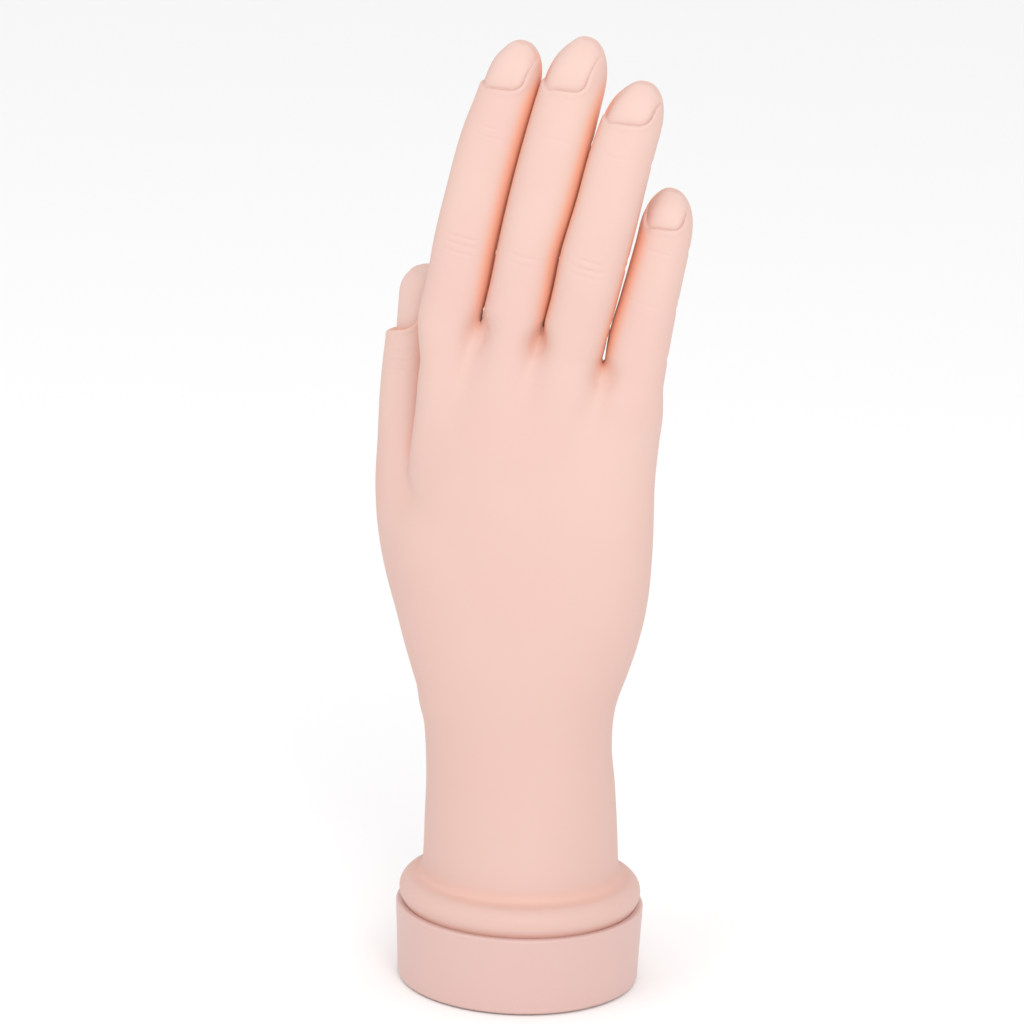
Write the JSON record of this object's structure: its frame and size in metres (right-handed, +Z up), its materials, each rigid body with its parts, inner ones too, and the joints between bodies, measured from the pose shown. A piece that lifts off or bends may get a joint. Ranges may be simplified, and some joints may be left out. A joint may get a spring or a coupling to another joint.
{
  "type": "jointed practice hand",
  "caption": "Soft vinyl manicure practice hand with recessed nail beds and bendable jointed fingers, standing upright on a round swivel base.",
  "frame": {"origin": "middle of the base pad's resting face", "axes": "+Z up along the hand, -Y out of the back of the hand, +Y out of the palm, -X towards the thumb"},
  "size_m": [0.0886, 0.07, 0.2671],
  "materials": {
    "skin_vinyl": "soft satin vinyl, fine moulded texture, warm peach",
    "base_plastic": "satin moulded plastic, peach, slightly darker than the skin",
    "core_plastic": "natural moulded nylon, fine spark texture",
    "bone_plastic": "natural moulded acetal, satin",
    "washer_nylon": "smooth white nylon",
    "steel": "turned steel",
    "pad_rubber": "dark anti-slip foam rubber"
  },
  "bodies": {
    "base": {"base_cup": "base_plastic", "base_pad": "pad_rubber", "thrust_washer": "washer_nylon"},
    "hand": {"wrist_plug": "core_plastic", "pivot_screw": "steel", "core_screws": "steel", "palm_core": "core_plastic", "hand_skin": "skin_vinyl", "knuckle_pins": "steel", "thumb_knuckle_pin": "steel"},
    "index_proximal": {"index_proximal_bone": "bone_plastic", "index_proximal_skin": "skin_vinyl", "index_mid_pin": "steel"},
    "index_middle": {"index_middle_bone": "bone_plastic", "index_middle_skin": "skin_vinyl", "index_tip_pin": "steel"},
    "index_distal": {"index_distal_bone": "bone_plastic", "index_distal_skin": "skin_vinyl"},
    "middle_proximal": {"middle_proximal_bone": "bone_plastic", "middle_proximal_skin": "skin_vinyl", "middle_mid_pin": "steel"},
    "middle_middle": {"middle_middle_bone": "bone_plastic", "middle_middle_skin": "skin_vinyl", "middle_tip_pin": "steel"},
    "middle_distal": {"middle_distal_bone": "bone_plastic", "middle_distal_skin": "skin_vinyl"},
    "ring_proximal": {"ring_proximal_bone": "bone_plastic", "ring_proximal_skin": "skin_vinyl", "ring_mid_pin": "steel"},
    "ring_middle": {"ring_middle_bone": "bone_plastic", "ring_middle_skin": "skin_vinyl", "ring_tip_pin": "steel"},
    "ring_distal": {"ring_distal_bone": "bone_plastic", "ring_distal_skin": "skin_vinyl"},
    "little_proximal": {"little_proximal_bone": "bone_plastic", "little_proximal_skin": "skin_vinyl", "little_mid_pin": "steel"},
    "little_middle": {"little_middle_bone": "bone_plastic", "little_middle_skin": "skin_vinyl", "little_tip_pin": "steel"},
    "little_distal": {"little_distal_bone": "bone_plastic", "little_distal_skin": "skin_vinyl"},
    "thumb_proximal": {"thumb_proximal_bone": "bone_plastic", "thumb_proximal_skin": "skin_vinyl", "thumb_tip_pin": "steel"},
    "thumb_distal": {"thumb_distal_bone": "bone_plastic", "thumb_distal_skin": "skin_vinyl"}
  },
  "joints": [
    {"name": "base_swivel", "type": "hinge", "parent": "base", "child": "hand", "pos_m": [0, 0, 0.009], "axis": [0, 0, 1], "continuous": true},
    {"name": "index_root", "type": "hinge", "parent": "hand", "child": "index_proximal", "pos_m": [-0.0248, 0.0005, 0.1925], "axis": [-0.9767, 0, 0.2147], "range_deg": [-8, 30]},
    {"name": "index_mid", "type": "hinge", "parent": "index_proximal", "child": "index_middle", "pos_m": [-0.02117, 0.00094, 0.209], "axis": [-0.9767, 0, 0.2147], "range_deg": [0, 65]},
    {"name": "index_tip", "type": "hinge", "parent": "index_middle", "child": "index_distal", "pos_m": [-0.01439, 0.00343, 0.23986], "axis": [-0.9767, 0, 0.2147], "range_deg": [0, 40]},
    {"name": "middle_root", "type": "hinge", "parent": "hand", "child": "middle_proximal", "pos_m": [-0.0072, -0.0015, 0.193], "axis": [-0.9767, 0, 0.2147], "range_deg": [-8, 30]},
    {"name": "middle_mid", "type": "hinge", "parent": "middle_proximal", "child": "middle_middle", "pos_m": [-0.00368, -0.00107, 0.20901], "axis": [-0.9767, 0, 0.2147], "range_deg": [0, 65]},
    {"name": "middle_tip", "type": "hinge", "parent": "middle_middle", "child": "middle_distal", "pos_m": [0.00311, 0.00142, 0.23988], "axis": [-0.9767, 0, 0.2147], "range_deg": [0, 40]},
    {"name": "ring_root", "type": "hinge", "parent": "hand", "child": "ring_proximal", "pos_m": [0.0114, -0.0005, 0.1905], "axis": [-0.9767, 0, 0.2147], "range_deg": [-8, 30]},
    {"name": "ring_mid", "type": "hinge", "parent": "ring_proximal", "child": "ring_middle", "pos_m": [0.01513, -0.00005, 0.20749], "axis": [-0.9767, 0, 0.2147], "range_deg": [0, 65]},
    {"name": "ring_tip", "type": "hinge", "parent": "ring_middle", "child": "ring_distal", "pos_m": [0.02128, 0.00221, 0.23543], "axis": [-0.9767, 0, 0.2147], "range_deg": [0, 40]},
    {"name": "little_root", "type": "hinge", "parent": "hand", "child": "little_proximal", "pos_m": [0.0271, 0.002, 0.1815], "axis": [-0.9767, 0, 0.2147], "range_deg": [-8, 30]},
    {"name": "little_mid", "type": "hinge", "parent": "little_proximal", "child": "little_middle", "pos_m": [0.03002, 0.00236, 0.19478], "axis": [-0.9767, 0, 0.2147], "range_deg": [0, 65]},
    {"name": "little_tip", "type": "hinge", "parent": "little_middle", "child": "little_distal", "pos_m": [0.03323, 0.00353, 0.20938], "axis": [-0.9767, 0, 0.2147], "range_deg": [0, 40]},
    {"name": "thumb_root", "type": "hinge", "parent": "hand", "child": "thumb_proximal", "pos_m": [-0.0372, 0.016, 0.147], "axis": [0.8821, -0.469, 0.0436], "range_deg": [-35, 10]},
    {"name": "thumb_tip", "type": "hinge", "parent": "thumb_proximal", "child": "thumb_distal", "pos_m": [-0.03745, 0.0179, 0.17253], "axis": [0.8821, -0.469, 0.0436], "range_deg": [-45, 0]}
  ]
}
